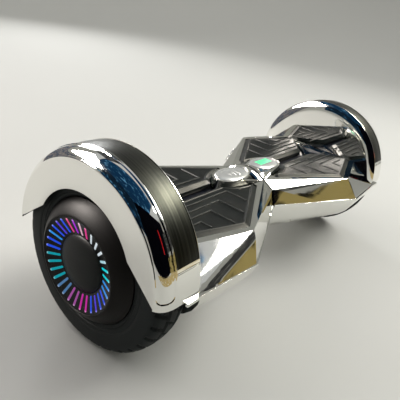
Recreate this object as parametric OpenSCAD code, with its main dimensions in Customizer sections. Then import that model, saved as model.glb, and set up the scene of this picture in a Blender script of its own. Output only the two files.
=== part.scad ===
// Self balancing board: two halves that twist on a centre pivot, each with a hub motor wheel.
// X runs along the wheel axle, Y from front (-) to back (+), Z up. The floor is at z = 0.
// Everything is drawn for the right half (+X) and mirrored for the left half.

/* [Wheel] */
// Diameter of the tyre
tyre_d = 210; // [204:1:212]
// Width of the tyre
tyre_w = 44; // [38:1:45]
// Distance of the tyre's middle from the centre pivot
wheel_x = 264; // [263:0.5:265]
// Radius where the tyre meets the motor's rim
rim_r = 66; // [62:1:68]
// Diameter of the fixed motor axle
axle_d = 17; // [14:1:18]

/* [Fender] */
// Outer radius of the fender
fender_r = 112.4; // [111:0.2:116]
// Height of the fender's centre above the axle
fender_rise = 8; // [6:0.5:10]
// Wall thickness of the chrome mouldings
wall = 3; // [2.4:0.2:3.4]
// Angle above the horizontal where the trim strip ends
strip_end = 19.5; // [15:0.5:30]

/* [Deck] */
// Height of the deck's rim above the axle
deck_rise = 38; // [36:1:42]
// Depth of the pocket that the foot pads sit in
pocket_depth = 10; // [9:0.5:11]
// Half width of the deck at its widest
deck_half = 102.7; // [98:1:108]
// Half width of the lower edge at its widest
skirt_half = 119.5; // [114:1:122]
// Depth of the belly below the axle
belly_drop = 42; // [40:1:46]
// Gap between the two halves
joint_gap = 3; // [2:0.5:4]

/* [Foot pads] */
// Travel of a foot pad onto its switches
pad_travel = 1.5; // [1:0.25:1.5]
// Height of a foot pad's top above the pocket's floor
pad_top = 12.5; // [11:0.5:14]
// Raised ribs on each foot pad
rib_count = 4; // [3:1:5]

/* [Lights] */
// Light slots round the hub
slot_count = 32; // [16:1:36]

/* [Pivot] */
// Diameter of the centre pivot shaft
shaft_d = 25; // [20:1:28]

/* [Hidden] */
$fn = 96;

axle_z = tyre_d / 2;
axle_r = axle_d / 2;
j = joint_gap / 2;
eps = 0.01;
run = 0.05; // running clearance, radial

// Fender, across the axle
fin_x = 235.7;
fout_x = 294.5;
side_r = 101.9;
arch_r = 70.8;
inner_r = 96.4;
strip_x0 = 243.4;
strip_x1 = 274.1;
strip_floor = fender_r - 1.8;
toe = [[61.8, 32.5], [103.6, 0]];

// Deck outline, one half: x, half width
skirt_z = fender_rise;
joint_top = 29;
joint_mid = [45.5, 29];
corner_x = 137.7;
skirt_x = 149.5;
end_x = 243;
end_half = 70;
slope = (deck_half - joint_top) / (corner_x - j);
skirt_joint = 53;
skirt_end = 114.5;
crease = [18, 55, 26];
crease_foot = [82, 90.3]; // where the crease meets the skirt
shell_hole_r = 13; // hole for the axle in the inner end wall

pocket_z = deck_rise - pocket_depth;
pocket_in = 8.8;
pad_gap = 0.4;
pad_y0 = 7; // inner edge of a pad beside the raised spine
pad_floor = pocket_z + pad_travel + 0.7;
lens_x = 42;
lens_a = 33;
lens_b = 18;
lens_z = deck_rise + 6.5;
wedge_half = 41;
wedge_tip = 188;
pocket_end = 232.2;
plungers = [[118, 52], [182, 44]];
plunger_r = 2.5;
plunger_z = 17; // foot of the plungers under each pad

screw_spots = [[48, 60], [135, 84], [214, 78]];
screw_head_r = 4;
screw_r = 2;
screw_head_z = -13;

clamp_x0 = 198;
clamp_x1 = 230;
axle_x0 = clamp_x0 - 6;
axle_x1 = 287;
bolt_spots = [[204, 15], [224, 15], [204, -15], [224, -15]];
bolt_r = 3;
tube_len = 44;
tube_r = 19;
web_z0 = 1;
web_z1 = 5;
board_x0 = 98;
board_x1 = 190;
board_z = web_z1 + 2;
belly_floor = 1.3 * wall + 0.2 - belly_drop; // just above the belly's inside floor

cap_r = 31.5;
plate_in = [32, 292];
plate_out = [52.5, 299.4];
cover_r = 68.7;
cover_x = 284.4;
slot_in = 34;
slot_out = 49.5;
stator_x0 = 253;
stator_x1 = 275;
bearing_r = 17.5;
bearing_w = 10;
bearing_x = [241.5, 276.5];

// The back flank's face, through three corners of the deck, where the port and button sit
flank_a = [crease[0], crease[1], crease[2]];
flank_b = [corner_x, deck_half, deck_rise];
flank_c = [crease_foot[0], crease_foot[1], skirt_z];
flank_n = unit(cross(flank_b - flank_a, flank_c - flank_a));
port_at = on_flank(85, 21.5);
button_at = on_flank(61, 22);
port_r = 8.5;
socket_r = 6.5;
socket_depth = 11;
button_r = 5;
button_travel = 1.5;

function unit(v) = v / norm(v);
// y of the flank's face for a given x and z
function flank_y(x, z) =
    (flank_n * flank_a - flank_n[0] * x - flank_n[2] * z) / flank_n[1];
function on_flank(x, z) = [x, flank_y(x, z), z];
// half width of the deck's rim at x
function rim_half(x) = x < corner_x
    ? joint_top + slope * (x - j)
    : deck_half - (x - corner_x) * (deck_half - end_half) / (end_x - corner_x);
function skirt_y(x) = x < skirt_x
    ? skirt_joint + (skirt_half - skirt_joint) * (x - j) / (skirt_x - j)
    : skirt_half - (x - skirt_x) * (skirt_half - skirt_end) / (end_x - skirt_x);
function both(points) = concat(points, [for (p = points) [p[0], -p[1], p[2]]]);
function oval(a, b, x = 0, n = 48) = [for (i = [0:n - 1]) [x + a * cos(360 * i / n), b * sin(360 * i / n)]];
function bend(p, q, r, n = 8) =
    [for (i = [0:n]) let (t = i / n) (1 - t) * (1 - t) * p + 2 * t * (1 - t) * q + t * t * r];

// One half is drawn at +X with the axle at z = 0, then placed
module half(s) {
    translate([0, 0, axle_z]) if (s > 0) children(); else mirror([1, 0, 0]) children();
}
// Turns a solid drawn along Z so that it lies along +X
module along_x(x = 0) { translate([x, 0, 0]) rotate([90, 0, 90]) children(); }
// A ring about the axle from a profile of [radius, x] points
module ring(points, from = 0, sweep = 360) {
    along_x() rotate(from) rotate_extrude(angle = sweep) polygon(points);
}
module rod(x0, x1, r) { along_x(x0) cylinder(h = x1 - x0, r = r); }
module block(x, y, z) { translate([x[0], y[0], z[0]]) cube([x[1] - x[0], y[1] - y[0], z[1] - z[0]]); }
module both_sides() { children(); mirror([0, 1, 0]) children(); }
// The smallest convex solid round a list of points
module wrap(points) { hull() polyhedron(points, [[for (i = [0:len(points) - 1]) i]]); }
module on_face(p) {
    translate(p) rotate([0, acos(flank_n[2]), atan2(flank_n[1], flank_n[0])]) children();
}

// ---- Deck shell: the chrome upper moulding ----
module deck_body(in = 0) {
    wrap(both([
        [j + in, joint_top - in, deck_rise - in], [j + in, joint_mid[0] - in, joint_mid[1]],
        [j + in, skirt_joint - in, skirt_z],
        [crease[0], crease[1] - in * 1.15, crease[2]], [crease_foot[0], crease_foot[1] - in * 1.15, skirt_z],
        [corner_x, deck_half - in * 1.2, deck_rise - in], [skirt_x, skirt_half - in * 1.2, skirt_z],
        [end_x, end_half - in * 1.2, deck_rise - in - 2], [end_x, skirt_end - in * 1.2, skirt_z]]));
}
module collar(in = 0) {
    top = [[j, 0, 48], [j, 8, 47], [j, 19, 43.5], [j, joint_top, deck_rise]];
    wrap(concat(both([for (p = top) [p[0] + in, p[1], p[2] - in]]), both([[j + in, joint_top, skirt_z + 4]]),
        [for (p = oval(lens_a + 2.5 - in, lens_b + 2.5 - in, lens_x)) [p[0], p[1], lens_z - in]],
        [for (p = oval(lens_a + 4 - in, lens_b + 4 - in, lens_x)) [p[0], p[1], pocket_z - 2]]));
}
module pocket_outline(in) {
    x0 = 27;
    polygon([[x0, rim_half(x0) - in], [corner_x - 2, deck_half - in], [pocket_end, rim_half(pocket_end) - in],
        [pocket_end, in - rim_half(pocket_end)], [corner_x - 2, in - deck_half], [x0, in - rim_half(x0)]]);
}
module wedge_outline(in) {
    polygon([[wedge_tip + 2.5 * in, 0], [pocket_end - in, wedge_half - in * 1.6],
        [pocket_end - in, in * 1.6 - wedge_half]]);
}
// The raised chrome wedge between the pads at the wheel end, with its triangular recess
module wedge() {
    difference() {
        translate([0, 0, pocket_z - 1]) linear_extrude(7) wedge_outline(0);
        translate([0, 0, pocket_z + 3.5]) linear_extrude(5) wedge_outline(7);
    }
}
module fender_solid(extra = 0) {
    translate([0, 0, fender_rise])
        ring(concat([[0, fin_x - extra]], [for (p = inner_band()) [p[0] + extra, p[1] - extra]],
            [[fender_r + extra, fout_x], [0, fout_x]]));
}
// The shell with the socket and button also has their two holes
module deck_shell(fitted) {
    difference() {
        union() { deck_body(); collar(); }
        intersection() {
            union() { deck_body(wall); collar(wall + 0.2); }
            union() {
                block([j + wall, fin_x - wall], [-130, 130], [0, pocket_z - wall]);
                block([j + wall, 27 - wall], [-130, 130], [0, deck_rise + 10]);
            }
        }
        difference() {
            translate([0, 0, pocket_z]) linear_extrude(30) pocket_outline(pocket_in);
            collar();
        }
        translate([0, 0, lens_z - 1.5]) linear_extrude(10) polygon(oval(lens_a, lens_b, lens_x));
        for (p = plungers) both_sides()
            translate([p[0], p[1], pocket_z - wall - 1]) cylinder(h = wall + 2, r = plunger_r + 0.8);
        fender_solid(eps);
        rod(0, j + wall + 1, tube_r + 1);
        rod(fin_x - wall - 1, fin_x + 1, shell_hole_r);
        if (fitted) {
            on_face(port_at) translate([0, 0, -socket_depth - 3]) cylinder(h = 20, r = port_r + run);
            on_face(button_at) translate([0, 0, -13]) cylinder(h = 20, r = button_r + 2 + run);
        }
        block([-1, 250], [-130, 130], [skirt_z - 20, skirt_z]);
    }
    wedge();
    for (p = screw_spots) both_sides() difference() {
        translate([p[0], p[1], skirt_z]) cylinder(h = pocket_z - wall + 1 - skirt_z, r = 6);
        translate([p[0], p[1], skirt_z - 1]) cylinder(h = 13, r = screw_r);
    }
}

// ---- Lower shell: the chrome belly ----
function belly_section(x, yr, in) = let (h = yr / 2, top = skirt_z - 4)
    [for (a = [0:15:90]) [x, h + (h - in) * cos(a), top - (belly_drop + top - in) * sin(a)]];
module belly(in = 0) {
    wrap(both(concat(belly_section(j + in, skirt_joint - 1, in),
        belly_section(skirt_x, skirt_half - 2, in * 1.3),
        belly_section(fin_x + wall - in, skirt_end - 1, in * 1.3),
        [[j + in, skirt_joint - 1 - in, skirt_z], [skirt_x, skirt_half - 2 - in * 1.3, skirt_z],
        [fin_x + wall - in, skirt_end - 1 - in * 1.3, skirt_z]])));
}
module lip_outline(out) {
    polygon([[j, skirt_joint + out], [skirt_x, skirt_half + out], [fin_x + wall, skirt_end + out],
        [fin_x + wall, -skirt_end - out], [skirt_x, -skirt_half - out], [j, -skirt_joint - out]]);
}
module lower_shell() {
    difference() {
        union() {
            belly();
            translate([0, 0, skirt_z - 4]) linear_extrude(4) lip_outline(1.6);
            both_sides() block([fin_x - 4, 262], [fender_r - 1, skirt_end + 1.6], [skirt_z - 4, skirt_z]);
        }
        difference() {
            belly(wall);
            for (p = screw_spots) both_sides()
                translate([p[0], p[1], -belly_drop]) cylinder(h = 60, r = 7.5);
        }
        for (p = screw_spots) both_sides() {
            translate([p[0], p[1], -belly_drop - 1])
                cylinder(h = belly_drop + 1 + screw_head_z, r = screw_head_r + 1.5);
            translate([p[0], p[1], -belly_drop]) cylinder(h = 60, r = screw_r + 0.3);
        }
        rod(fin_x - 4, fin_x + wall + 1, shell_hole_r);
        rod(0, j + wall + 1, tube_r + 1);
        block([-1, 260], [-130, 130], [skirt_z, skirt_z + 9]);
    }
}

// ---- Fender ----
function inner_band() = bend([inner_r, fin_x], [107, 236.9], [fender_r, strip_x0 - 0.5]);
function outer_band() = bend([fender_r, strip_x1 + 0.4], [111.6, 290.6], [side_r, fout_x]);
// The cut for the trim strip and the fine lines beyond its ends
module groove(floor_r, in, from, sweep) {
    ring([[floor_r, strip_x0 + in], [floor_r, strip_x1 - in], [fender_r + 2, strip_x1 - in],
        [fender_r + 2, strip_x0 + in]], from, sweep);
}
module fender() {
    in = wall + 1;
    translate([0, 0, fender_rise]) difference() {
        ring(concat([[24, fin_x]], inner_band(), outer_band(), [[60, fout_x], [60, fout_x - wall],
            [side_r - 2, fout_x - wall], [fender_r - in, strip_x1], [fender_r - in, strip_x0 + 1],
            [inner_r, fin_x + wall], [24, fin_x + wall]]), 0, 180);
        groove(strip_floor, 0, strip_end, 180 - 2 * strip_end);
        for (a = [strip_end - 2.8, 180 - strip_end + 2.2]) groove(fender_r - 0.8, 1, a, 0.6);
        rod(fout_x - wall - 1, fout_x + 1, arch_r);
        both_sides() along_x(fout_x - wall - 1) linear_extrude(wall + 2)
            polygon([[0, -1], [toe[1][0], -1], toe[1], toe[0], [0, toe[0][1]]]);
        translate([0, 0, -fender_rise]) rod(fin_x - 1, fin_x + wall + 1, 20);
    }
}
module trim_strip() {
    translate([0, 0, fender_rise])
        ring([[strip_floor, strip_x0 + 0.2], [strip_floor, strip_x1 - 0.2], [fender_r - 0.4, strip_x1 - 0.2],
            [fender_r - 0.4, strip_x0 + 0.2]], strip_end + 0.2, 179.6 - 2 * strip_end);
}

// ---- Foot pads ----
// Plan of the back pad; in moves its edges inwards
module pad_outline(in) {
    e = pocket_in + pad_gap + in;
    x0 = 29;
    x1 = pocket_end - 1;
    difference() {
        polygon([[x0 + in, pad_y0 + in], [x0 + in, rim_half(x0) - e - in * 0.6],
            [corner_x - 2 - in * 0.3, deck_half - e - in * 0.2], [x1 - in, rim_half(pocket_end) - e],
            [x1 - in, wedge_half + 1.5 + in * 1.3], [wedge_tip - 4 - in * 0.6, pad_y0 + in]]);
        polygon(oval(lens_a + 5.2 + in, lens_b + 5.2 + in, lens_x));
        polygon([[0, 30.2 + in], [lens_x + 10, lens_b + 4.5 + in], [lens_x + 10, 0], [0, 0]]);
    }
}
// An L shaped rib: one leg along X towards the wheel, one towards the rim
module rib(i) {
    x = 84 + i * 31;
    y = 22 + i * 11;
    w = 2.2;
    translate([x, y]) square([212 - x - i * 4, w]);
    translate([x, y]) square([w, rim_half(x) - pocket_in - 11 - y]);
}
module foot_pad() {
    top = pocket_z + pad_top;
    translate([0, 0, pad_floor]) linear_extrude(top - 4 - pad_floor) pad_outline(0);
    translate([0, 0, top - 4]) linear_extrude(2.5) pad_outline(5);
    translate([0, 0, top - 1.5]) linear_extrude(1.5) intersection() {
        pad_outline(8);
        union() for (i = [0:rib_count - 1]) rib(i);
    }
    for (p = plungers) translate([p[0], p[1], plunger_z])
        cylinder(h = pad_floor - plunger_z + 1, r = plunger_r);
}

// ---- Indicator lens ----
module lens() {
    translate([0, 0, lens_z - 1.5]) linear_extrude(3.5) polygon(oval(lens_a - 0.2, lens_b - 0.2, lens_x));
    translate([0, 0, lens_z + 2]) linear_extrude(2) polygon(oval(lens_a - 5, lens_b - 4, lens_x));
}

// ---- Frame and axle clamp ----
module frame_half() {
    difference() {
        union() {
            rod(j + 1, tube_len, tube_r);
            translate([0, 0, web_z0]) linear_extrude(web_z1 - web_z0)
                polygon([[20, 15], [60, 46], [150, 66], [clamp_x1, 40],
                    [clamp_x1, -40], [150, -66], [60, -46], [20, -15]]);
            both_sides() block([30, board_x0 - 2], [11, 14], [web_z1 - 1, 12]);
            block([clamp_x0 - 2, clamp_x1], [-22, 22], [0.5, 16]);
        }
        rod(0, tube_len + 1, shaft_d / 2 + 2);
        rod(tube_len, tube_len + 10, tube_r - 1);
        rod(axle_x0 - 1, clamp_x1 + 1, axle_r);
        for (p = bolt_spots) translate([p[0], p[1], -1]) cylinder(h = 14, r = bolt_r);
        for (x = [80:30:140]) both_sides() translate([x, 32, -1]) cylinder(h = 8, r = 8);
    }
}
module axle_clamp() {
    difference() {
        block([clamp_x0, clamp_x1], [-22, 22], [-13, -0.5]);
        rod(clamp_x0 - 1, clamp_x1 + 1, axle_r);
        for (p = bolt_spots) translate([p[0], p[1], -14]) cylinder(h = 14, r = bolt_r + 0.3);
    }
}
module clamp_bolts() {
    for (p = bolt_spots) translate([p[0], p[1], 0]) {
        translate([0, 0, -13]) cylinder(h = 24, r = bolt_r);
        translate([0, 0, -18]) difference() {
            cylinder(h = 5, r = 5);
            translate([0, 0, -1]) cylinder(h = 3.5, r = 2.9, $fn = 6);
        }
    }
}

// ---- Hub motor wheel ----
module axle() {
    difference() {
        union() {
            rod(axle_x0, axle_x1, axle_r);
            rod(fin_x - 4.5, bearing_x[0] - 1, axle_r + 3);
        }
        rod(axle_x0 - 1, stator_x0 - 3, 3);
    }
}
module stator() {
    teeth = 27;
    along_x(stator_x0) linear_extrude(stator_x1 - stator_x0) difference() {
        union() {
            circle(r = 34);
            for (i = [0:teeth - 1]) rotate(i * 360 / teeth) {
                translate([30, -1.7]) square([18, 3.4]);
                translate([46, -4.6]) square([3.4, 9.2]);
            }
        }
        circle(r = axle_r);
        for (a = [0:60:300]) rotate(a) translate([21, 0]) circle(r = 6);
    }
    for (i = [0:teeth - 1]) rotate([i * 360 / teeth, 0, 0])
        block([stator_x0 - 1.5, stator_x1 + 1.2], [36, 45], [-3, 3]);
}
module magnets() {
    count = 30;
    for (i = [0:count - 1])
        ring([[51, stator_x0], [51, stator_x1], [54, stator_x1], [54, stator_x0]],
            i * 360 / count, 360 / count - 1.2);
}
module wheel_rim() {
    lip = rim_r - 2.8;
    ring([[54, 246], [54, 282.4], [rim_r, 282.4], [rim_r, 245], [lip, 245], [lip, 246]]);
}
module inner_cover() {
    x1 = bearing_x[0] + bearing_w - 1;
    ring([[bearing_r, bearing_x[0]], [bearing_r, x1], [24, x1], [30, 246],
        [rim_r - 2.8, 246], [rim_r - 2.8, 243], [rim_r - 8, 241.5]]);
}
module hub_cover() {
    x1 = bearing_x[1] + bearing_w;
    ring(concat([[bearing_r, bearing_x[1]], [bearing_r, x1 + 1.5], [cap_r - 3, x1 + 1.5], [40, x1 + 1.5],
        [plate_out[0], plate_out[1] - 4.4], [plate_out[0], plate_out[1]]],
        bend([54, 299.6], [62, 296.8], [cover_r, cover_x], 6),
        [[cover_r, cover_x - 1.6], [50, 282.5], [30, bearing_x[1] + 1]]));
}
module bearings() {
    for (x = bearing_x) difference() {
        rod(x, x + bearing_w, bearing_r);
        rod(x - 1, x + bearing_w + 1, axle_r + run);
        for (face = [x - 1, x + bearing_w - 1])
            ring([[11.5, face], [11.5, face + 2], [14.5, face + 2], [14.5, face]]);
    }
}
// The black dished plate with its ring of slots
module slot_plate() {
    difference() {
        ring([plate_in, plate_out, [plate_out[0], plate_out[1] - 2.4], [plate_in[0], plate_in[1] - 2.4]]);
        for (i = [0:slot_count - 1]) rotate([i * 360 / slot_count, 0, 0])
            block([plate_in[0] - 4, 302], [slot_in, slot_out], [-1.1, 1.1]);
    }
}
// The clear ring behind the slots, with a raised bar in each one
module light_guide() {
    ring([[plate_in[0] + 1, plate_in[1] - 2.4], [plate_out[0] - 0.5, plate_out[1] - 2.55],
        [plate_out[0] - 0.5, plate_out[1] - 3.9], [40, x_back + 0.3], [plate_in[0] + 1, x_back + 0.3]]);
    intersection() {
        ring([[plate_in[0] + 1, plate_in[1] - 2.6], [plate_in[0] + 1, plate_in[1] - 0.1],
            [plate_out[0] - 0.5, plate_out[1] - 0.45], [plate_out[0] - 0.5, plate_out[1] - 2.8]]);
        for (i = [0:slot_count - 1]) rotate([i * 360 / slot_count, 0, 0])
            block([plate_in[0] - 4, 302], [slot_in + 0.05, slot_out - 0.05], [-1.05, 1.05]);
    }
}
x_back = bearing_x[1] + bearing_w + 1.5;
module hub_cap() {
    ring(concat([[0, x_back], [cap_r, x_back]],
        bend([cap_r, plate_in[1] - 0.6], [cap_r - 3, 297.5], [0, 298.2], 10)));
}
module tyre() {
    x0 = wheel_x - tyre_w / 2;
    x1 = wheel_x + tyre_w / 2;
    r = tyre_d / 2;
    difference() {
        ring([[rim_r, x0 + 3], [rim_r, x1 - 3.6], [cover_r + 0.1, x1 - 3.6], [cover_r + 0.1, x1 - 1.8],
            [cover_r + 2, x1 - 0.8], [86, x1], [93, x1 - 0.6],
            [r - 7.5, x1 - 2.6], [r - 2.6, x1 - 8], [r - 0.5, x1 - 14], [r, wheel_x],
            [r - 0.5, x0 + 14], [r - 2.6, x0 + 8],
            [r - 7.5, x0 + 2.6], [93, x0 + 0.6], [86, x0], [cover_r + 2, x0 + 0.8]]);
        for (x = [wheel_x - 7, wheel_x + 7])
            ring([[r - 3, x - 1.1], [r - 3, x + 1.1], [r + 1, x + 1.1], [r + 1, x - 1.1]]);
    }
}

// ---- Electronics ----
module sensor_board() {
    block([board_x0, board_x1], [-58, 58], [board_z, board_z + 1.6]);
    for (x = [board_x0 + 6, board_x1 - 6]) both_sides() translate([x, 20, web_z1]) cylinder(h = 2, r = 3);
    block([130, 138], [-5, 5], [board_z + 1.6, board_z + 3.2]);
    for (p = plungers) both_sides() {
        block([p[0] - 5, p[0] - 3.2], [p[1] - 3, p[1] + 3], [board_z + 1.6, plunger_z - 0.5]);
        block([p[0] + 3.2, p[0] + 5], [p[1] - 3, p[1] + 3], [board_z + 1.6, plunger_z - 0.5]);
    }
}
module shell_screws() {
    for (p = screw_spots) both_sides() translate([p[0], p[1], screw_head_z]) {
        cylinder(h = 32, r = screw_r);
        translate([0, 0, -3]) difference() {
            cylinder(h = 3, r = screw_head_r);
            translate([0, 0, -1]) cylinder(h = 2.6, r = 1.6, $fn = 6);
        }
    }
}
module battery() { block([50, 188], [-36, 36], [belly_floor, -3]); }
module heat_sink() {
    base = 6;
    block([60, 180], [-34, 34], [belly_floor, belly_floor + base]);
    for (y = [-32:8:32]) block([60, 180], [y - 1.5, y + 1.5], [belly_floor + base, belly_floor + base + 4]);
}
module main_board() {
    z = belly_floor + 5.6;
    block([60, 176], [-38, 38], [z + 5, z + 6.6]);
    block([72, 164], [-36, -28], [z + 6.6, z + 20]);
    for (x = [80:22:146]) translate([x, 16, z + 6.6]) cylinder(h = 20, r = 7);
    for (x = [84:26:136]) block([x, x + 16], [-22, -10], [z + 6.6, z + 15]);
}
module ribbon(x0) { block([x0, clamp_x0 - 8], [-6, 6], [-2, 0]); }
module wiring_left() {
    ribbon(48);
    rod(-50, 50, 3);
}
module wiring_right() { ribbon(51.5); }

// ---- Centre pivot ----
module pivot_shaft() {
    translate([0, 0, axle_z]) difference() {
        rod(-tube_len, tube_len + 6, shaft_d / 2);
        rod(-tube_len - 1, tube_len + 7, shaft_d / 2 - 4);
        ring([[shaft_d / 2 - 1, tube_len + 1.5], [shaft_d / 2 - 1, tube_len + 3.2], [shaft_d, tube_len + 3.2],
            [shaft_d, tube_len + 1.5]]);
    }
}
module pivot_bushes() {
    translate([0, 0, axle_z]) for (x = [j + 1, tube_len - 15]) difference() {
        rod(x, x + 15, shaft_d / 2 + 2);
        rod(x - 1, x + 16, shaft_d / 2 + run);
    }
}
module retaining_ring() {
    translate([0, 0, axle_z]) difference() {
        rod(tube_len + 1.6, tube_len + 3.1, shaft_d / 2 + 4);
        rod(tube_len + 1, tube_len + 4, shaft_d / 2 - 1);
        block([tube_len, tube_len + 5], [-6, 6], [0, 30]);
    }
}
// The sleeve that holds the shaft still in the left frame's tube
module shaft_sleeve() {
    translate([0, 0, axle_z]) difference() {
        rod(-tube_len, -j - 1, shaft_d / 2 + 2);
        rod(-tube_len - 1, 0, shaft_d / 2);
    }
}

// ---- Charging port and power button ----
module charge_port() {
    translate([0, 0, axle_z]) on_face(port_at) {
        difference() {
            union() {
                translate([0, 0, -socket_depth - 2]) cylinder(h = socket_depth + 2, r = port_r);
                cylinder(h = 1.2, r = port_r + 2);
            }
            translate([0, 0, -socket_depth]) cylinder(h = socket_depth + 3, r = socket_r);
        }
        for (a = [90:120:330]) rotate(a) translate([3, 0, -socket_depth - 0.5]) cylinder(h = 3.5, r = 0.8);
    }
}
module power_button() {
    translate([0, 0, axle_z]) on_face(button_at) {
        translate([0, 0, -2.5]) cylinder(h = 4.2, r = button_r - 0.4);
        translate([0, 0, -3.5]) cylinder(h = 1, r = button_r + 0.6);
        translate([0, 0, -5]) cylinder(h = 2, r = 1.5);
    }
}
module power_switch() {
    translate([0, 0, axle_z]) on_face(button_at) difference() {
        union() {
            translate([0, 0, -12]) cylinder(h = 12, r = button_r + 2);
            cylinder(h = 1.2, r = button_r + 2.5);
        }
        translate([0, 0, -2.4]) cylinder(h = 4, r = button_r);
        translate([0, 0, -5.6]) cylinder(h = 3.3, r = button_r + 1);
        translate([0, 0, -8]) cylinder(h = 4, r = 2);
    }
}

chrome = [0.86, 0.87, 0.88];
rubber = [0.13, 0.13, 0.14];
black = [0.08, 0.08, 0.09];
alloy = [0.7, 0.71, 0.72];

color(chrome) half(-1) deck_shell(false);  // deck_shell_left
color(chrome) half(1) deck_shell(true);  // deck_shell_right
color(chrome) half(-1) lower_shell();  // lower_shell_left
color(chrome) half(1) lower_shell();  // lower_shell_right
color(chrome) half(-1) fender();  // fender_left
color(chrome) half(1) fender();  // fender_right
color(black) half(-1) trim_strip();  // trim_strip_left
color(black) half(1) trim_strip();  // trim_strip_right
color(rubber) half(-1) mirror([0, 1, 0]) foot_pad();  // front_pad_left
color(rubber) half(-1) foot_pad();  // rear_pad_left
color(rubber) half(1) mirror([0, 1, 0]) foot_pad();  // front_pad_right
color(rubber) half(1) foot_pad();  // rear_pad_right
color("gainsboro") half(-1) lens();  // lens_left
color("gainsboro") half(1) lens();  // lens_right
color(alloy) half(-1) frame_half();  // frame_left
color(alloy) half(1) frame_half();  // frame_right
color(alloy) half(-1) axle_clamp();  // axle_clamp_left
color(alloy) half(1) axle_clamp();  // axle_clamp_right
color("dimgray") half(-1) clamp_bolts();  // clamp_bolts_left
color("dimgray") half(1) clamp_bolts();  // clamp_bolts_right
color("silver") half(-1) axle();  // axle_left
color("silver") half(1) axle();  // axle_right
color("sandybrown") half(-1) stator();  // stator_left
color("sandybrown") half(1) stator();  // stator_right
color("gray") half(-1) magnets();  // magnets_left
color("gray") half(1) magnets();  // magnets_right
color("dimgray") half(-1) wheel_rim();  // wheel_rim_left
color("dimgray") half(1) wheel_rim();  // wheel_rim_right
color(black) half(-1) inner_cover();  // inner_cover_left
color(black) half(1) inner_cover();  // inner_cover_right
color(black) half(-1) hub_cover();  // hub_cover_left
color(black) half(1) hub_cover();  // hub_cover_right
color("silver") half(-1) bearings();  // bearings_left
color("silver") half(1) bearings();  // bearings_right
color("deepskyblue") half(-1) light_guide();  // light_guide_left
color("deepskyblue") half(1) light_guide();  // light_guide_right
color(black) half(-1) slot_plate();  // slot_plate_left
color(black) half(1) slot_plate();  // slot_plate_right
color(black) half(-1) hub_cap();  // hub_cap_left
color(black) half(1) hub_cap();  // hub_cap_right
color(rubber) half(-1) tyre();  // tyre_left
color(rubber) half(1) tyre();  // tyre_right
color("seagreen") half(-1) sensor_board();  // sensor_board_left
color("seagreen") half(1) sensor_board();  // sensor_board_right
color("dimgray") half(-1) shell_screws();  // shell_screws_left
color("dimgray") half(1) shell_screws();  // shell_screws_right
color("royalblue") half(-1) battery();
color("seagreen") half(1) main_board();
color(alloy) half(1) heat_sink();
color("silver") pivot_shaft();
color("goldenrod") pivot_bushes();
color("dimgray") retaining_ring();
color("silver") shaft_sleeve();
color("silver") charge_port();
color(black) power_button();
color("silver") power_switch();
color("crimson") half(-1) wiring_left();
color("crimson") half(1) wiring_right();
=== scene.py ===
import math

import bmesh
import bpy
from mathutils import Matrix, Vector


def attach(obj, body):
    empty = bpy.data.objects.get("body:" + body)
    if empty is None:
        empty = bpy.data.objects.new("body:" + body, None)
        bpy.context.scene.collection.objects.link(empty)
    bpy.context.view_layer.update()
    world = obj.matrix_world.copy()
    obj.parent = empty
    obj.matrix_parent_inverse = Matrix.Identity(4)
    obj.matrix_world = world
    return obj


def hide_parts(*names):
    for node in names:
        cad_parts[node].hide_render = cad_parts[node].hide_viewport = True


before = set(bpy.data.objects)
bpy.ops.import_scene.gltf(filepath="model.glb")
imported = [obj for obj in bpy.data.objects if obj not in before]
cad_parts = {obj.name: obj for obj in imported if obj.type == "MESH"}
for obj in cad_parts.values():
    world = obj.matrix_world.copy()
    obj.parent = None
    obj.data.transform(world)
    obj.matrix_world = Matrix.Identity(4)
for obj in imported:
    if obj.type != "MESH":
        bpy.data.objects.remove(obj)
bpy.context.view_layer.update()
scene = bpy.context.scene
sides = {"left": -1, "right": 1}
mm = 0.001

board = {  # millimetres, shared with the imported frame
    "axleHeight": 105.0,
    "fenderHeight": 113.0,
    "fenderRadius": 112.4,
    "wheelMiddle": 264.0,
}
axleZ = board["axleHeight"]
fenderZ = board["fenderHeight"]


# shader maths
class Wire:
    # one socket of a material; + - and * on it add Math nodes
    def __init__(self, paint, socket):
        self.paint = paint
        self.socket = socket

    def combine(self, operation, *values):
        return self.paint.add("ShaderNodeMath", {"operation": operation}, dict(enumerate(values)))

    def __add__(self, other):
        return self.combine("ADD", self, other)

    def __radd__(self, other):
        return self.combine("ADD", other, self)

    def __sub__(self, other):
        return self.combine("SUBTRACT", self, other)

    def __rsub__(self, other):
        return self.combine("SUBTRACT", other, self)

    def __mul__(self, other):
        return self.combine("MULTIPLY", self, other)

    def __rmul__(self, other):
        return self.combine("MULTIPLY", other, self)

    def above(self, edge, soft):
        # 0 below edge, 1 above it, eased over soft
        settings = {"interpolation_type": "SMOOTHSTEP"}
        return self.paint.add("ShaderNodeMapRange", settings,
                              {"Value": self, "From Min": edge - soft / 2, "From Max": edge + soft / 2})


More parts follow.
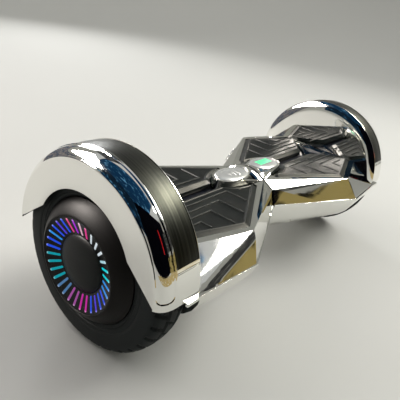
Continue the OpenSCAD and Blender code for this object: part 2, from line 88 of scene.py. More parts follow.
class Paint:
    # builds one procedural material
    def __init__(self, name):
        self.material = bpy.data.materials.new(name)
        self.material.use_nodes = True
        self.tree = self.material.node_tree
        self.shader = self.tree.nodes["Principled BSDF"]

    def feed(self, socket, value):
        if isinstance(value, Wire):
            self.tree.links.new(value.socket, socket)
        elif isinstance(value, (tuple, list)) and len(value) == 3 and socket.type == "RGBA":
            socket.default_value = (*value, 1)
        else:
            socket.default_value = value

    def add(self, kind, settings=None, sockets=None, out=0):
        node = self.tree.nodes.new(kind)
        for key, value in (settings or {}).items():
            setattr(node, key, value)
        for key, value in (sockets or {}).items():
            self.feed(node.inputs[key], value)
        return Wire(self, node.outputs[out])

    def finish(self, **values):
        for key, value in values.items():
            self.feed(self.shader.inputs[key.replace("_", " ")], value)
        return self.material

    def place(self):
        return self.add("ShaderNodeTexCoord", out="Object")

    def axes(self, vector):
        split = self.add("ShaderNodeSeparateXYZ", None, {0: vector})
        node = split.socket.node
        return [Wire(self, node.outputs[i]) for i in range(3)]

    def joined(self, x, y, z):
        return self.add("ShaderNodeCombineXYZ", None, {0: x, 1: y, 2: z})

    def scaled(self, vector, factors):
        return self.add("ShaderNodeVectorMath", {"operation": "MULTIPLY"}, {0: vector, 1: factors})

    def noise(self, vector, scale, detail=3.0, roughness=0.55, distortion=0.0):
        return self.add("ShaderNodeTexNoise", None, {
            "Vector": vector, "Scale": scale, "Detail": detail,
            "Roughness": roughness, "Distortion": distortion})

    def cells(self, vector, scale):
        return self.add("ShaderNodeTexVoronoi", None, {"Vector": vector, "Scale": scale})

    def blend(self, amount, first, second):
        node = self.tree.nodes.new("ShaderNodeMix")
        node.data_type = "RGBA"
        self.feed(node.inputs[0], amount)
        self.feed(node.inputs[6], first)
        self.feed(node.inputs[7], second)
        return Wire(self, node.outputs[2])

    def bump(self, height, strength, distance=0.001, under=None):
        sockets = {"Height": height, "Strength": strength, "Distance": distance}
        if under is not None:
            sockets["Normal"] = under
        return self.add("ShaderNodeBump", None, sockets)

    def wheelPolar(self, height=axleZ * mm):
        # place along the axle, radius from it and angle round it, in metres and radians
        x, y, z = self.axes(self.place())
        up = z - height
        square = y * y + up * up
        return x, square.combine("SQRT", square), y.combine("ARCTAN2", up, y)


def chromePlating():
    look = {"tint": (0.80, 0.80, 0.765), "smear": (0.72, 0.72, 0.69), "ripple": 0.16}
    p = Paint("chromePlating")
    place = p.place()
    film = p.noise(place, 9.0, 4.0, 0.6, 0.4).above(0.58, 0.2)
    specks = p.cells(place, 240.0).above(0.05, 0.03)
    fine = p.noise(place, 900.0, 2.0)
    ripple = p.noise(place, 26.0, 2.0, 0.5)
    scuffs = p.noise(p.scaled(place, (30, 30, 600)), 4.0, 3.0).above(0.66, 0.08)
    normal = p.bump(ripple * 0.8 + fine * 0.004 + scuffs * 0.01, look["ripple"], 0.0006)
    smears = film * 0.5 + (1 - specks) * 0.12
    return p.finish(Base_Color=p.blend(smears, look["tint"], look["smear"]), Metallic=1.0,
                    Roughness=0.03 + film * 0.045 + scuffs * 0.03 + fine * 0.015, Normal=normal)


def brushedBlack():
    look = {"dark": (0.004, 0.005, 0.005), "light": (0.040, 0.042, 0.036)}
    p = Paint("brushedBlack")
    x, radius, angle = p.wheelPolar(fenderZ * mm)
    streaks = p.noise(p.joined(x * 1800, radius * 30, angle * 2.5), 1.0, 4.0, 0.7)
    hairs = p.noise(p.joined(x * 6000, radius * 30, angle * 9), 1.0, 2.0, 0.6)
    bands = p.noise(p.joined(x * 520, radius * 30, angle * 1.1), 1.0, 3.0, 0.7)
    worn = streaks * 0.4 + bands.above(0.5, 0.35) * 0.6
    return p.finish(Base_Color=p.blend(worn, look["dark"], look["light"]), Metallic=1.0,
                    Roughness=0.20 + streaks * 0.12 + bands * 0.14 + hairs * 0.05,
                    Normal=p.bump(streaks * 0.5 + hairs * 0.2 + bands * 0.5, 0.3, 0.0003))


def hubSatin():
    look = {"dark": (0.003, 0.0026, 0.0025), "light": (0.011, 0.0095, 0.0085)}
    p = Paint("hubSatin")
    x, radius, angle = p.wheelPolar()
    turned = p.noise(p.joined(radius * 2600, x * 900, angle * 1.2), 1.0, 3.0, 0.6)
    grain = p.noise(p.place(), 700.0, 3.0)
    return p.finish(Base_Color=p.blend(turned * 0.7 + grain * 0.3, look["dark"], look["light"]),
                    Metallic=0.2, Specular_IOR_Level=0.13, Roughness=0.37 + turned * 0.14 + grain * 0.05,
                    Normal=p.bump(turned * 0.5 + grain * 0.5, 0.3, 0.0003))


def domeSatin():
    look = {"dark": (0.0035, 0.005, 0.005), "light": (0.008, 0.010, 0.0095)}
    p = Paint("domeSatin")
    grain = p.noise(p.place(), 1300.0, 3.0, 0.7)
    haze = p.noise(p.place(), 22.0, 3.0)
    return p.finish(Base_Color=p.blend(haze, look["dark"], look["light"]), Metallic=0.0,
                    Specular_IOR_Level=0.14, Roughness=0.36 + grain * 0.1 + haze * 0.06,
                    Normal=p.bump(grain, 0.3, 0.0002))


def glossBlack():
    look = {"gloss": (0.004, 0.005, 0.006), "dust": (0.03, 0.03, 0.03)}
    p = Paint("glossBlack")
    radius, angle = p.wheelPolar()[1:]
    rings = p.noise(p.joined(radius * 1500, 0.0, angle * 0.6), 1.0, 3.0)
    dust = p.noise(p.place(), 420.0, 2.0).above(0.68, 0.05)
    return p.finish(Base_Color=p.blend(dust * 0.3, look["gloss"], look["dust"]), Metallic=0.0,
                    Specular_IOR_Level=0.14, Roughness=0.2 + rings * 0.08 + dust * 0.2,
                    Normal=p.bump(rings, 0.08, 0.0002))


def padRubber():
    # the lightest colour is a painted highlight for the rib tops
    look = {"dark": (0.004, 0.006, 0.006), "worn": (0.011, 0.0145, 0.014),
            "rub": (0.06, 0.065, 0.063), "rubbedAbove": 145.2}
    p = Paint("padRubber")
    place = p.place()
    grain = p.cells(place, 1500.0)
    cloud = p.noise(place, 14.0, 4.0, 0.6, 0.3)
    fine = p.noise(place, 520.0, 3.0)
    shine = cloud.above(0.5, 0.35)
    # painted highlight: the rib tops above this height get a lighter base colour
    raised = p.axes(place)[2].above(look["rubbedAbove"] * mm, 0.0004) * (0.5 + fine * 0.5)
    rubber = p.blend(cloud * 0.6 + fine * 0.3, look["dark"], look["worn"])
    return p.finish(Base_Color=p.blend(raised, rubber, look["rub"]),
                    Roughness=0.40 - shine * 0.13 - raised * 0.08 + fine * 0.08, Specular_IOR_Level=0.10,
                    Normal=p.bump(grain * 0.5 + fine * 0.7, 0.28, 0.0003, p.bump(cloud, 0.25, 0.002)))


def tyreRubber():
    look = {"dark": (0.005, 0.008, 0.0085), "dust": (0.026, 0.029, 0.028)}
    p = Paint("tyreRubber")
    radius, angle = p.wheelPolar()[1:]
    rings = p.noise(p.joined(radius * 1100, 0.0, angle * 0.4), 1.0, 2.0)
    grain = p.noise(p.place(), 620.0, 4.0, 0.65)
    dusty = p.noise(p.place(), 30.0, 4.0, 0.6) * radius.above(0.101, 0.006)
    return p.finish(Base_Color=p.blend(dusty * 0.55 + grain * 0.12, look["dark"], look["dust"]),
                    Specular_IOR_Level=0.13, Roughness=0.46 + grain * 0.14 + dusty * 0.12,
                    Normal=p.bump(rings * 0.5 + grain * 0.6, 0.35, 0.0003))


def frostedLens():
    look = {"shade": (0.62, 0.63, 0.63), "light": (0.76, 0.77, 0.76)}
    p = Paint("frostedLens")
    place = p.place()
    cloud = p.noise(place, 60.0, 3.0)
    fine = p.noise(place, 900.0, 2.0)
    return p.finish(Base_Color=p.blend(cloud, look["shade"], look["light"]), Metallic=0.45,
                    Roughness=0.16 + fine * 0.1 + cloud * 0.04, Coat_Weight=0.8, Coat_Roughness=0.04,
                    Normal=p.bump(fine, 0.06, 0.0002))


def glowing(name, colour, strength):
    # a lit bar, brighter and paler towards its outer end
    p = Paint(name)
    end = p.wheelPolar()[1].above(0.0484, 0.0016)
    mottled = p.noise(p.place(), 300.0, 3.0)
    inside = p.blend(mottled * 0.6 + 0.1, tuple(c * 0.5 for c in colour), colour)
    tip = tuple(min(1.0, c * 0.75 + 0.22) for c in colour)
    return p.finish(Base_Color=(0.004, 0.004, 0.005), Emission_Color=p.blend(end, inside, tip),
                    Emission_Strength=strength, Specular_IOR_Level=0.1, Roughness=0.25 + mottled * 0.06)


def plainFinish(name, dark, light, metallic, roughness, scale=300.0, bumpy=0.15, coat=0.0):
    p = Paint(name)
    place = p.place()
    grain = p.noise(place, scale, 4.0, 0.6)
    cloud = p.noise(place, scale / 12, 3.0)
    return p.finish(Base_Color=p.blend(grain * 0.5 + cloud * 0.5, dark, light), Metallic=metallic,
                    Roughness=roughness + grain * 0.12, Coat_Weight=coat, Normal=p.bump(grain, bumpy, 0.0004))


def circuitBoard():
    p = Paint("circuitBoard")
    place = p.place()
    tracks = p.add("ShaderNodeTexBrick", {"offset": 0.5}, {
        "Vector": place, "Scale": 160.0, "Color1": (0.01, 0.10, 0.04), "Color2": (0.012, 0.13, 0.05),
        "Mortar": (0.03, 0.24, 0.10), "Mortar Size": 0.06})
    fine = p.noise(place, 500.0)
    return p.finish(Base_Color=tracks, Roughness=0.32 + fine * 0.1, Coat_Weight=0.3)


materials = {
    "chrome": chromePlating(), "brushed": brushedBlack(), "hub": hubSatin(), "dome": domeSatin(),
    "gloss": glossBlack(), "pad": padRubber(), "tyre": tyreRubber(), "lens": frostedLens(),
    "board": circuitBoard(),
    "alloy": plainFinish("castAlloy", (0.36, 0.37, 0.38), (0.52, 0.53, 0.54), 0.9, 0.42, 500.0, 0.3),
    "steel": plainFinish("turnedSteel", (0.50, 0.50, 0.51), (0.62, 0.62, 0.63), 1.0, 0.24, 700.0, 0.1),
    "copper": plainFinish("copperWinding", (0.42, 0.16, 0.06), (0.62, 0.28, 0.12), 0.9, 0.35, 900.0, 0.5),
    "magnet": plainFinish("nickelMagnet", (0.40, 0.40, 0.41), (0.55, 0.55, 0.55), 1.0, 0.22, 400.0, 0.05),
    "darkAlloy": plainFinish("darkAlloy", (0.020, 0.021, 0.022), (0.045, 0.045, 0.046), 0.7, 0.42,
                             800.0, 0.25),
    "satin": plainFinish("satinBlack", (0.016, 0.017, 0.018), (0.032, 0.033, 0.034), 0.0, 0.42,
                         900.0, 0.25),
    "wrap": plainFinish("batteryWrap", (0.02, 0.06, 0.26), (0.04, 0.10, 0.36), 0.0, 0.28, 200.0, 0.1, 0.4),
    "bronze": plainFinish("bronze", (0.42, 0.27, 0.10), (0.56, 0.38, 0.17), 0.9, 0.38, 900.0, 0.3),
    "jacket": plainFinish("wireJacket", (0.28, 0.015, 0.015), (0.40, 0.03, 0.03), 0.0, 0.4, 300.0, 0.1),
    # dark navy for the deck's pocket floor, where it is painted shade, and for the wedge's recess
    "navy": plainFinish("navyRecess", (0.004, 0.006, 0.014), (0.010, 0.014, 0.030), 0.0, 0.3, 500.0, 0.1),
    "seam": plainFinish("darkSeam", (0.006, 0.006, 0.008), (0.014, 0.014, 0.018), 0.0, 0.5, 600.0, 0.1),
}
print("materials ready")


# mesh tools
def makePiece(name, verts, faces, body, material, side=1, stands=(), angle=32, merge=True):
    # points are millimetres drawn for the right half; side -1 mirrors them to the left half
    mesh = bpy.data.meshes.new(name)
    mesh.from_pydata([(side * x * mm, y * mm, z * mm) for x, y, z in verts], [], faces)
    work = bmesh.new()
    work.from_mesh(mesh)
    if merge:
        bmesh.ops.remove_doubles(work, verts=work.verts, dist=0.00001)
    bmesh.ops.recalc_face_normals(work, faces=work.faces)
    work.to_mesh(mesh)
    work.free()
    mesh.shade_smooth()
    mesh.set_sharp_from_angle(angle=math.radians(angle))
    piece = bpy.data.objects.new(name, mesh)
    scene.collection.objects.link(piece)
    for m in material if isinstance(material, list) else [material]:
        mesh.materials.append(m)
    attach(piece, body)
    if stands:
        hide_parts(*stands)
    return piece


def softenEdges(piece, width, angle):
    bevel = piece.modifiers.new("softEdges", "BEVEL")
    bevel.width = width * mm
    bevel.segments = 3
    bevel.limit_method = "ANGLE"
    bevel.angle_limit = math.radians(angle)
    bevel.harden_normals = True
    bevel.use_clamp_overlap = True


class Shape:
    # gathers points and faces of one piece
    def __init__(self):
        self.verts = []
        self.faces = []

    def rings(self, rows, closedRows=False):
        # skins closed rows of points; closedRows joins the last row to the first
        start, n = len(self.verts), len(rows[0])
        for row in rows:
            self.verts.extend(row)
        count = len(rows)
        for i in range(count if closedRows else count - 1):
            a, b = start + i * n, start + (i + 1) % count * n
            for j in range(n):
                k = (j + 1) % n
                self.faces.append((a + j, a + k, b + k, b + j))
        if not closedRows:
            self.faces.append(tuple(start + j for j in reversed(range(n))))
            self.faces.append(tuple(start + (count - 1) * n + j for j in range(n)))

    def lathe(self, profile, steps=128, z=axleZ, start=0.0, sweep=360.0):
        full = sweep >= 359.9
        rows = []
        for i in range(steps if full else steps + 1):
            a = math.radians(start + sweep * i / steps)
            rows.append([(x, r * math.cos(a), z + r * math.sin(a)) for r, x in profile])
        self.rings(rows, full)


def bend(p, q, r, n):
    return [tuple((1 - t) ** 2 * a + 2 * t * (1 - t) * b + t * t * c for a, b, c in zip(p, q, r))
            for t in [i / n for i in range(n + 1)]]


def rounded(points, radius, n=5):
    # rounds the corners of a closed outline
    result = []
    for i, p in enumerate(points):
        a, b = Vector(points[i - 1]), Vector(points[(i + 1) % len(points)])
        c = Vector(p)
        cut = min(radius, (a - c).length * 0.45, (b - c).length * 0.45)
        start = c + (a - c).normalized() * cut
        end = c + (b - c).normalized() * cut
        result.extend(bend(tuple(start), tuple(c), tuple(end), n))
    return result


def inset(points, distance):
    # moves every edge of a closed outline inwards and joins neighbours where they cross
    n = len(points)
    area = sum(points[i - 1][0] * points[i][1] - points[i][0] * points[i - 1][1] for i in range(n))
    turn = 1 if area > 0 else -1
    lines = []
    for i in range(n):
        a, b = Vector(points[i]), Vector(points[(i + 1) % n])
        along = (b - a).normalized()
        normal = Vector((-along.y, along.x)) * turn
        lines.append((a + normal * distance, along))
    result = []
    for i in range(n):
        (p, u), (q, v) = lines[i - 1], lines[i]
        cross = u.x * v.y - u.y * v.x
        if abs(cross) < 1e-4:
            result.append((q.x, q.y))
            continue
        t = ((q.x - p.x) * v.y - (q.y - p.y) * v.x) / cross
        result.append((p.x + u.x * t, p.y + u.y * t))
    return result


def smoothStep(value, low, high):
    t = max(0.0, min(1.0, (value - low) / (high - low)))
    return t * t * (3 - 2 * t)


# chrome mouldings from the frame
class Facet:
    # a flat face through three points of the right half's back, y given by x and z
    def __init__(self, p, q, r):
        self.p = Vector(p)
        n = (Vector(q) - self.p).cross(Vector(r) - self.p)
        self.dx, self.dz = -n.x / n.y, -n.z / n.y

    def y(self, x, z):
        return self.p.y + self.dx * (x - self.p.x) + self.dz * (z - self.p.z)

    def holds(self, points):
        return all(abs(p[1] - self.y(p[0], p[2])) < 0.12 for p in points)


def halfPoint(v, side):
    return (side * v.co.x / mm, abs(v.co.y) / mm, v.co.z / mm - axleZ)


def roundCrease(work, side, first, second, reach):
    # turns the crease between two facets into one gently curved face; reach is in y
    chosen = []
    for face in work.faces:
        points = [halfPoint(v, side) for v in face.verts]
        outward = face.normal.y * face.verts[0].co.y > 0
        if outward and (first.holds(points) or second.holds(points)):
            chosen.append(face)
    cuts = [(Vector((side * x * mm, 0, 0)), Vector((1, 0, 0))) for x in range(8, 240, 6)]
    cuts += [(Vector((0, 0, (9.5 + 2.2 * i + axleZ) * mm)), Vector((0, 0, 1))) for i in range(13)]
    for spot, normal in cuts:
        around = set(chosen)
        for face in chosen:
            around.update(face.edges)
            around.update(face.verts)
        cut = bmesh.ops.bisect_plane(work, geom=list(around), plane_co=spot, plane_no=normal, dist=0.00002)
        chosen = list({g for g in cut["geom"] if isinstance(g, bmesh.types.BMFace)})
    for v in {v for face in chosen for v in face.verts}:
        x, y, z = halfPoint(v, side)
        near = max(0.0, 1 - abs(first.y(x, z) - second.y(x, z)) / reach)
        v.co.y -= math.copysign(near * near * reach / 4 * mm, v.co.y)


def refine(node, body, side, width, angle, name, soft=()):
    # a copy of a frame piece with its flat faces merged and its edges rounded; soft lists the
    # pairs of facets that run into each other, with the reach of each blend
    work = bmesh.new()
    work.from_mesh(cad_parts[node].data)
    bmesh.ops.remove_doubles(work, verts=work.verts, dist=0.00003)
    bmesh.ops.dissolve_limit(work, angle_limit=math.radians(0.8), verts=work.verts, edges=work.edges)
    bmesh.ops.recalc_face_normals(work, faces=work.faces)
    for first, second, reach in soft:
        roundCrease(work, side, first, second, reach)
    fresh = bpy.data.meshes.new(name)
    work.to_mesh(fresh)
    work.free()
    fresh.shade_smooth()
    fresh.set_sharp_from_angle(angle=math.radians(angle))
    fresh.materials.append(materials["chrome"])
    fresh.materials.append(materials["navy"])
    for polygon in fresh.polygons:  # painted shade: the pocket's floor is given the dark navy finish; the wedge's recess is dark navy too
        x, z = abs(polygon.center.x) / mm, polygon.center.z / mm
        inPocket = abs(z - moulding["pocketFloor"]) < 0.15
        inWedge = abs(z - moulding["wedgeFloor"]) < 0.15 and moulding["wedgeFrom"] < x < moulding["wedgeTo"]
        if polygon.normal.z > 0.9 and (inPocket or inWedge):
            polygon.material_index = 1
    piece = bpy.data.objects.new(name, fresh)
    scene.collection.objects.link(piece)
    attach(piece, body)
    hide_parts(node)
    softenEdges(piece, width, angle)


moulding = {  # heights from the floor; the deck's corners are measured from the axle's height
    "pocketFloor": 133.0, "wedgeFloor": 136.5, "wedgeFrom": 188.0, "wedgeTo": 233.0,
    "wide": (137.7, 102.7, 38), "wideFoot": (149.5, 119.5, 8), "end": (243, 70, 36),
    "endFoot": (243, 114.5, 8), "joint": (1.5, 45.5, 29), "jointFoot": (18, 55, 26),
    "endReach": 8.5, "jointReach": 6.0, "deckEdge": 0.9, "lowerEdge": 0.6,
}
m = moulding
softCreases = [
    (Facet(m["wide"], m["end"], m["endFoot"]), Facet(m["wide"], m["wideFoot"], m["endFoot"]), m["endReach"]),
    (Facet(m["wide"], m["joint"], m["jointFoot"]), Facet(m["wide"], m["wideFoot"], m["jointFoot"]),
     m["jointReach"])]
for sideName, side in sides.items():
    body = f"{sideName}_half"
    refine(f"deck_shell_{sideName}", body, side, m["deckEdge"], 14, f"deckShell_{sideName}", softCreases)
    refine(f"lower_shell_{sideName}", body, side, m["lowerEdge"], 20, f"lowerShell_{sideName}")
print("mouldings ready")


# fenders
fender = {
    "inner": 235.7, "outer": 294.5, "side": 101.9, "arch": 70.8, "innerTop": 96.4, "wall": 2.8,
    "stripIn": 243.4, "stripOut": 274.1, "stripEnd": 19.5, "recess": 1.75,
    "lines": (1.9, 2.7), "lineDepth": 0.8,  # degrees from the strip's end, then millimetres
    "bandEnd": 9.5, "bandDepth": 0.75, "bandHalf": 10.3, "bandReach": 23.5,
    "toe": ((61.8, 32.5), (103.6, 0.0)), "toeBelow": 27.3,
}


def archEdge(degrees):
    # radius of the cut out's edge: a circle, then a straight line down to the toe
    a = math.radians(min(degrees, 180 - degrees))
    if a > math.radians(fender["toeBelow"]):
        return fender["arch"]
    (y0, z0), (y1, z1) = fender["toe"]
    nx, nz = z0 - z1, y1 - y0
    reach = (nx * y0 + nz * z0) / max(1e-6, nx * math.cos(a) + nz * math.sin(a))
    return min(fender["side"] - 0.5, max(fender["arch"], reach))


def fenderRow(degrees):
    f = fender
    top = board["fenderRadius"]
    fromEnd = min(degrees, 180 - degrees)
    low = f["recess"] if fromEnd >= f["stripEnd"] else 0.0
    if min(abs(fromEnd - f["stripEnd"] + line) for line in f["lines"]) < 0.16:
        low = f["lineDepth"]
    row = [(30, f["inner"]), (55, f["inner"]), (80, f["inner"]), (92, f["inner"])]
    row += bend((f["innerTop"], f["inner"]), (107, 236.6), (top - 0.1, 242.4), 14)
    row += [(top, 242.7), (top, 243.0), (top - low * 0.9, 243.15), (top - low, f["stripIn"])]
    row += [(top - low, 254), (top - low, 264), (top - low, f["stripOut"])]
    row += [(top - low * 0.9, 274.3), (top, 274.45), (top, 274.7)]
    steps = 30
    band = bend((top - 0.02, 275.0), (111.6, 290.6), (f["side"], f["outer"]), steps)
    along = (fromEnd - f["bandEnd"]) * math.radians(1) * 107  # past the band's end, it rounds off
    for i, (r, x) in enumerate(band):
        across = (i / steps - 0.5) * f["bandReach"]
        reach = abs(across) if along > 0 else (abs(across) ** 3 + abs(along) ** 3) ** (1 / 3)
        sink = f["bandDepth"] * smoothStep(f["bandHalf"] - reach, -0.1, 0.7)
        out = Vector((r - 92, (x - 268))).normalized()
        row.append((r - out.x * sink, x - out.y * sink))
    edge = archEdge(degrees)
    for t in (0.06, 0.35, 0.7, 0.97):
        row.append((f["side"] + (edge - f["side"]) * t, f["outer"]))
    wall = f["wall"]
    row += [(edge, f["outer"] - 0.35), (edge + 0.15, f["outer"] - wall + 0.4)]
    row += [(edge + 0.5, f["outer"] - wall)]
    row += [(99.5 if edge < 99 else edge + 0.6, f["outer"] - wall - 0.2), (top - wall - 1.4, 273.5)]
    row += [(top - wall - 1.4, 245), (f["innerTop"] - 2, f["inner"] + wall), (30, f["inner"] + wall)]
    return row


def fenderAngles():
    # stations along the arch, closer at the strip's ends and at the fine lines
    end = fender["stripEnd"]
    half = [i * 0.35 for i in range(52)] + [end - 0.04, end]
    half += [end - line + step for line in fender["lines"] for step in (-0.2, -0.1, 0.1, 0.2)]
    half += [end + 1 + i * 1.4 for i in range(50)]
    half = [a for a in half if a < 89.3]
    return sorted({90.0, *(round(a, 3) for a in half), *(round(180 - a, 3) for a in half)})


for sideName, side in sides.items():
    body = f"{sideName}_half"
    shape = Shape()
    rows = []
    for degrees in fenderAngles():
        a = math.radians(degrees)
        rows.append([(x, r * math.cos(a), fenderZ + r * math.sin(a)) for r, x in fenderRow(degrees)])
    shape.rings(rows)
    shell = makePiece(f"fenderShell_{sideName}", shape.verts, shape.faces, body,
                      [materials["chrome"], materials["seam"]], side, (f"fender_{sideName}",), 24)
    for polygon in shell.data.polygons:  # the two fine lines beyond each end of the strip
        x, y, z = (abs(c / mm) for c in polygon.center)
        below = fender["stripEnd"] - math.degrees(math.atan2(z - fenderZ, y))
        outside = math.hypot(y, z - fenderZ) > 111.0 and 243 < x < 274.2
        if outside and min(abs(below - line) for line in fender["lines"]) < 0.12:
            polygon.material_index = 1
    strip = Shape()
    low, high, near, far = 110.75, 112.05, fender["stripIn"] + 0.3, fender["stripOut"] - 0.3
    crown = rounded([(low, near), (high, near), (high + 0.2, 258.7), (high, far), (low, far)], 0.35, 3)
    strip.lathe(crown, 120, fenderZ, fender["stripEnd"] + 0.25, 180 - 2 * fender["stripEnd"] - 0.5)
    makePiece(f"trimStrip_{sideName}", strip.verts, strip.faces, body,
              materials["brushed"], side, (f"trim_strip_{sideName}",))
print("fenders ready")


# foot pads
pads = {
    "bottom": 135.4, "shoulder": 141.4, "ridge": 145.3, "field": 144.4, "ribTop": 145.5, "ribWidth": 2.0,
    "corner": (84, 22), "step": (31, 11), "ribs": 4, "ribEnd": 217,
}


def rimHalf(x):
    # half of the deck's width at x
    return 29 + 0.5411 * (x - 1.5) if x < 137.7 else 102.7 - (x - 137.7) * 32.7 / 105.3


def padOutline():
    # one pad from above; the notch runs round the lens's collar
    notch = [(42 + 38.2 * math.cos(math.radians(a)), 23.2 * math.sin(math.radians(a)))
             for a in (74.8, 66, 54, 42, 30, 17.6)]
    start = [(29, rimHalf(29) - 9.2), (29, 25.91)]
    return start + notch + [(184, 7), (231.2, 42.5), (231.2, 64.6), (135.7, 93.5)]


def padPiece(side, sideName, back, end):
    p = pads
    outline = padOutline()
    shape = Shape()
    low, shoulder, ridge = p["bottom"], p["shoulder"], p["ridge"]
    edge = [(0.3, low), (0.0, low + 0.5), (0.0, shoulder - 0.6), (0.25, shoulder - 0.1),
            (0.9, shoulder + 0.3), (3.2, shoulder + 1.7), (5.0, shoulder + 3.1), (5.6, ridge - 0.25),
            (6.2, ridge), (6.9, ridge), (7.5, ridge - 0.3), (8.2, p["field"])]
    rows = []
    for distance, height in edge:
        ring = rounded(inset(outline, distance), 3.2, 4)
        rows.append([(x, y * back, height) for x, y in ring])
    shape.rings(rows)
    for i in range(p["ribs"]):
        x0, y0 = p["corner"][0] + i * p["step"][0], p["corner"][1] + i * p["step"][1]
        w = p["ribWidth"]
        yTop = rimHalf(x0 + 1) - 19.5
        xEnd = p["ribEnd"] - i * 3
        if yTop - y0 < 6:  # the shortest rib is nearly straight
            yTop = y0 + 3
        arms = [(x0, y0), (xEnd, y0), (xEnd, y0 + w), (x0 + w, y0 + w), (x0 + w, yTop), (x0, yTop)]
        rib = rounded(arms, 0.8, 2)
        flank = [(-0.5, p["field"] - 0.5), (-0.35, p["field"] + 0.1), (0.05, p["ribTop"] - 0.25),
                 (0.35, p["ribTop"])]
        shape.rings([[(x, y * back, height) for x, y in inset(rib, distance)] for distance, height in flank])
    body = f"{end}_pad_{sideName}"
    makePiece(f"footPad_{end}_{sideName}", shape.verts, shape.faces, body,
              materials["pad"], side, (body,), 40)


for sideName, side in sides.items():
    for end, back in (("front", -1), ("rear", 1)):
        padPiece(side, sideName, back, end)
print("foot pads ready")


# oval lenses
lens = {
    "middle": 42, "halfLength": 32.8, "halfWidth": 17.8, "base": 148.2,
    "arcCentre": 60, "arcWidth": 3, "arcs": ((9, 58), (17, 37), (25, 25)),  # radius and half angle
    "cell": (24, 56, 6.2), "green": (0.06, 0.72, 0.24), "greenLight": (0.16, 0.95, 0.42), "glow": 0.75,
}


def oval(grow, n=72):
    return [(lens["middle"] + (lens["halfLength"] + grow) * math.cos(2 * math.pi * i / n),
             (lens["halfWidth"] + grow) * math.sin(2 * math.pi * i / n)) for i in range(n)]


def arc(radius, angles):
    return [(lens["arcCentre"] - radius * math.cos(math.radians(a)), radius * math.sin(math.radians(a)))
            for a in angles]


def raised(outline, levels):
    # rings of an outline, each level an inset and a height above the lens's base
    return [[(x, y, lens["base"] + height) for x, y in inset(outline, d)] for d, height in levels]


for sideName, side in sides.items():
    body = f"{sideName}_half"
    shape = Shape()
    dome = ((-0.1, 0.0), (0.0, 0.3), (0.0, 1.8), (-0.5, 2.4), (-2.4, 2.9), (-4.5, 3.9),
            (-8.0, 4.3), (-13.0, 4.5))
    shape.rings([[(x, y, lens["base"] + height) for x, y in oval(grow)] for grow, height in dome])
    makePiece(f"lensDome_{sideName}", shape.verts, shape.faces, body,
              materials["lens"], side, (f"lens_{sideName}",), 40)
    marks = Shape()
    if side < 0:  # three raised arcs, as for a wireless signal
        for radius, reach in lens["arcs"]:
            angles = [reach * (i / 8 - 1) for i in range(17)]
            band = arc(radius, angles) + arc(radius + lens["arcWidth"], [-a for a in angles])
            marks.rings(raised(band, ((0, 3.4), (0.05, 4.75), (0.5, 5.0))))
        makePiece("lensArcs_left", marks.verts, marks.faces, body,
                  materials["lens"], side, (), 40)
    else:
        x0, x1, half = lens["cell"]
        cell = rounded([(x0, -half), (x1, -half), (x1, half), (x0, half)], 1.5, 3)
        marks.rings(raised(cell, ((0, 3.4), (0.05, 4.65), (0.3, 4.8))))
        lit = Paint("batteryGreen")
        cloud = lit.noise(lit.place(), 160.0, 2.0)
        lit.finish(Base_Color=(0.1, 0.6, 0.3), Emission_Strength=lens["glow"],
                   Emission_Color=lit.blend(cloud, lens["green"], lens["greenLight"]),
                   Roughness=0.2 + cloud * 0.05)
        makePiece("batteryLight", marks.verts, marks.faces, body, lit.material, side, (), 40)
print("lenses ready")


# wheels
tyre = {
    "half": 21.9, "radius": 104.9, "crown": 17.0, "repeats": 36, "perRepeat": 12,
    "groove": 2.3, "rings": (-7.0, 7.0),
}
slots = {
    "inner": (34.9, 1.3), "outer": (48.4, 1.45),  # radius from the axle and half width of each end
    "face": 292.0, "slope": 0.361, "glow": 0.95,
    "colours": ["blue", "blue", "teal", "teal", "teal", "teal", "slate", "slate",
                "mauve", "mauve", "magenta", "magenta", "blue", "indigo", "blue", "blue",
                "azure", "azure", "cyan", "cyan", "pale", "white", "white", "white",
                "pink", "blush", "purple", "red", "blue", "indigo", "blue", "azure"],
}
glow = {
    "blue": (0.02, 0.10, 1.0), "indigo": (0.10, 0.05, 0.9), "azure": (0.03, 0.35, 1.0),
    "teal": (0.0, 0.42, 0.50), "slate": (0.10, 0.25, 0.50), "mauve": (0.45, 0.10, 0.42),
    "magenta": (0.75, 0.02, 0.45), "cyan": (0.0, 0.85, 0.95), "pale": (0.55, 0.9, 1.0),
    "white": (0.85, 0.95, 1.0), "pink": (1.0, 0.05, 0.35), "blush": (1.0, 0.6, 0.75),
    "purple": (0.5, 0.02, 0.85), "red": (0.95, 0.06, 0.30),
}
glowMaterials = {k: glowing(f"slotLight_{k}", v, slots["glow"]) for k, v in glow.items()}


def treadDepth(turn, x):
    # turn counts pattern repeats round the tyre; x is millimetres from its middle
    depth = 0.0
    for ring in tyre["rings"]:
        depth = max(depth, 1 - smoothStep(abs(x - ring), 0.7, 1.3))
    phase = turn % 1.0
    if abs(x) > 9:
        slant = (phase + (abs(x) - 9) * 0.022) % 1.0
        cut = 1 - smoothStep(abs(slant - 0.5) * 17.5, 1.6, 2.5)
        depth = max(depth, cut * (1 - smoothStep(abs(x), 19.5, 21.0)))
    if abs(x) < 6:
        zig = (phase + (x + 6) / 12 * 0.5) % 1.0
        cut = 1 - smoothStep(abs(zig - 0.5) * 17.5, 0.8, 1.5)
        depth = max(depth, cut)
    return depth * tyre["groove"]


